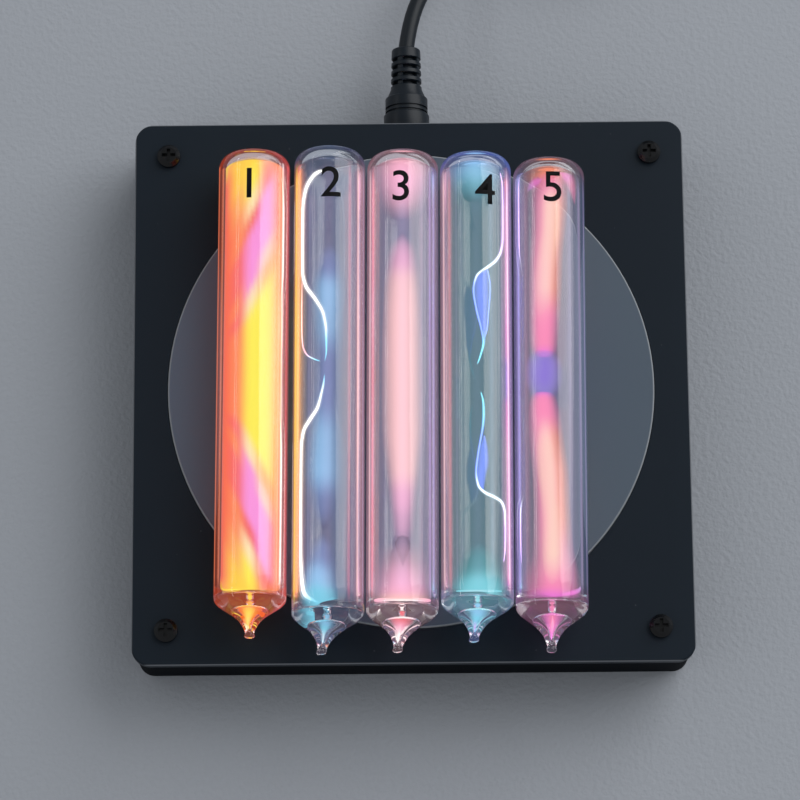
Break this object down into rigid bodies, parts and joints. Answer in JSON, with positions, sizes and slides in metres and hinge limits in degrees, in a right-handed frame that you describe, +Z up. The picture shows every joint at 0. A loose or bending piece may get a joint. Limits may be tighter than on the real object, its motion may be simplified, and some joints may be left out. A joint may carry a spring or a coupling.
{
  "type": "geissler tube set",
  "caption": "Sealed glass discharge tubes lying side by side on a flat black high-frequency exciter box with its plug-in power lead.",
  "frame": {"origin": "on the floor under the middle of the exciter box", "axes": "+X to the right along the row of tubes, +Y along the tubes towards the power lead, +Z up"},
  "size_m": [0.1679, 0.2208, 0.0352],
  "materials": {
    "housing_plastic": "matt black moulded plastic",
    "lid_plastic": "satin black-blue plastic sheet",
    "foot_rubber": "black rubber",
    "black_screw": "black oxide steel",
    "frosted_glass": "frosted grey-blue glass",
    "copper": "copper",
    "board_laminate": "green laminate",
    "steel_screw": "bright steel",
    "ferrite": "dark grey ferrite",
    "bobbin_plastic": "black moulding",
    "enamel_wire": "enamelled copper wire",
    "sink_aluminium": "extruded aluminium",
    "epoxy": "black epoxy",
    "capacitor_sleeve": "dark sleeve",
    "film_capacitor": "red dipped film",
    "resistor_ceramic": "lacquered ceramic",
    "wire_insulation": "red insulation",
    "jack_plastic": "black moulding",
    "plated_brass": "nickel plated",
    "plug_plastic": "black soft moulding",
    "cord_sheath": "black flexible sheath",
    "tie_fabric": "black woven tie",
    "steel_shell": "plated steel",
    "tongue_plastic": "white plastic",
    "neon_glass": "clear drawn glass",
    "krypton_glass": "clear drawn glass",
    "helium_glass": "clear drawn glass",
    "xenon_glass": "clear drawn glass",
    "argon_glass": "clear drawn glass"
  },
  "bodies": {
    "exciter": {"lower_housing": "housing_plastic", "rubber_feet": "foot_rubber", "lid": "lid_plastic", "lid_screws": "black_screw", "frosted_disc": "frosted_glass", "electrode_plate": "copper", "driver_board": "board_laminate", "board_screws": "steel_screw", "ferrite_core_left": "ferrite", "ferrite_core_right": "ferrite", "transformer_bobbin": "bobbin_plastic", "primary_winding": "enamel_wire", "secondary_winding": "enamel_wire", "heat_sink": "sink_aluminium", "power_transistor": "epoxy", "transistor_screw": "steel_screw", "filter_capacitor": "capacitor_sleeve", "resonant_capacitors": "film_capacitor", "choke_core": "ferrite", "choke_winding": "enamel_wire", "bleed_resistors": "resistor_ceramic", "power_wires": "wire_insulation", "electrode_feed_wire": "wire_insulation", "power_jack": "jack_plastic", "jack_pin": "plated_brass", "jack_spring_contact": "plated_brass"},
    "neon_discharge_tube": {"neon_tube": "neon_glass"},
    "krypton_discharge_tube": {"krypton_tube": "krypton_glass"},
    "helium_discharge_tube": {"helium_tube": "helium_glass"},
    "xenon_discharge_tube": {"xenon_tube": "xenon_glass"},
    "argon_discharge_tube": {"argon_tube": "argon_glass"},
    "power_lead": {"plug_grip": "plug_plastic", "plug_barrel": "plated_brass", "plug_insulator": "bobbin_plastic", "power_cord": "cord_sheath", "cord_coil": "cord_sheath", "cord_tie": "tie_fabric", "cord_tail": "cord_sheath", "far_plug_grip": "plug_plastic", "far_plug_shell": "steel_shell", "far_plug_tongue": "tongue_plastic"}
  },
  "joints": [
    {"name": "neon_lift", "type": "slide", "parent": "exciter", "child": "neon_discharge_tube", "axis": [0, 0, 1], "range_m": [0, 0.03]},
    {"name": "krypton_lift", "type": "slide", "parent": "exciter", "child": "krypton_discharge_tube", "axis": [0, 0, 1], "range_m": [0, 0.03]},
    {"name": "helium_lift", "type": "slide", "parent": "exciter", "child": "helium_discharge_tube", "axis": [0, 0, 1], "range_m": [0, 0.03]},
    {"name": "xenon_lift", "type": "slide", "parent": "exciter", "child": "xenon_discharge_tube", "axis": [0, 0, 1], "range_m": [0, 0.03]},
    {"name": "argon_lift", "type": "slide", "parent": "exciter", "child": "argon_discharge_tube", "axis": [0, 0, 1], "range_m": [0, 0.03]},
    {"name": "plug_pull", "type": "slide", "parent": "exciter", "child": "power_lead", "axis": [0, 1, 0], "range_m": [0, 0.012]}
  ]
}
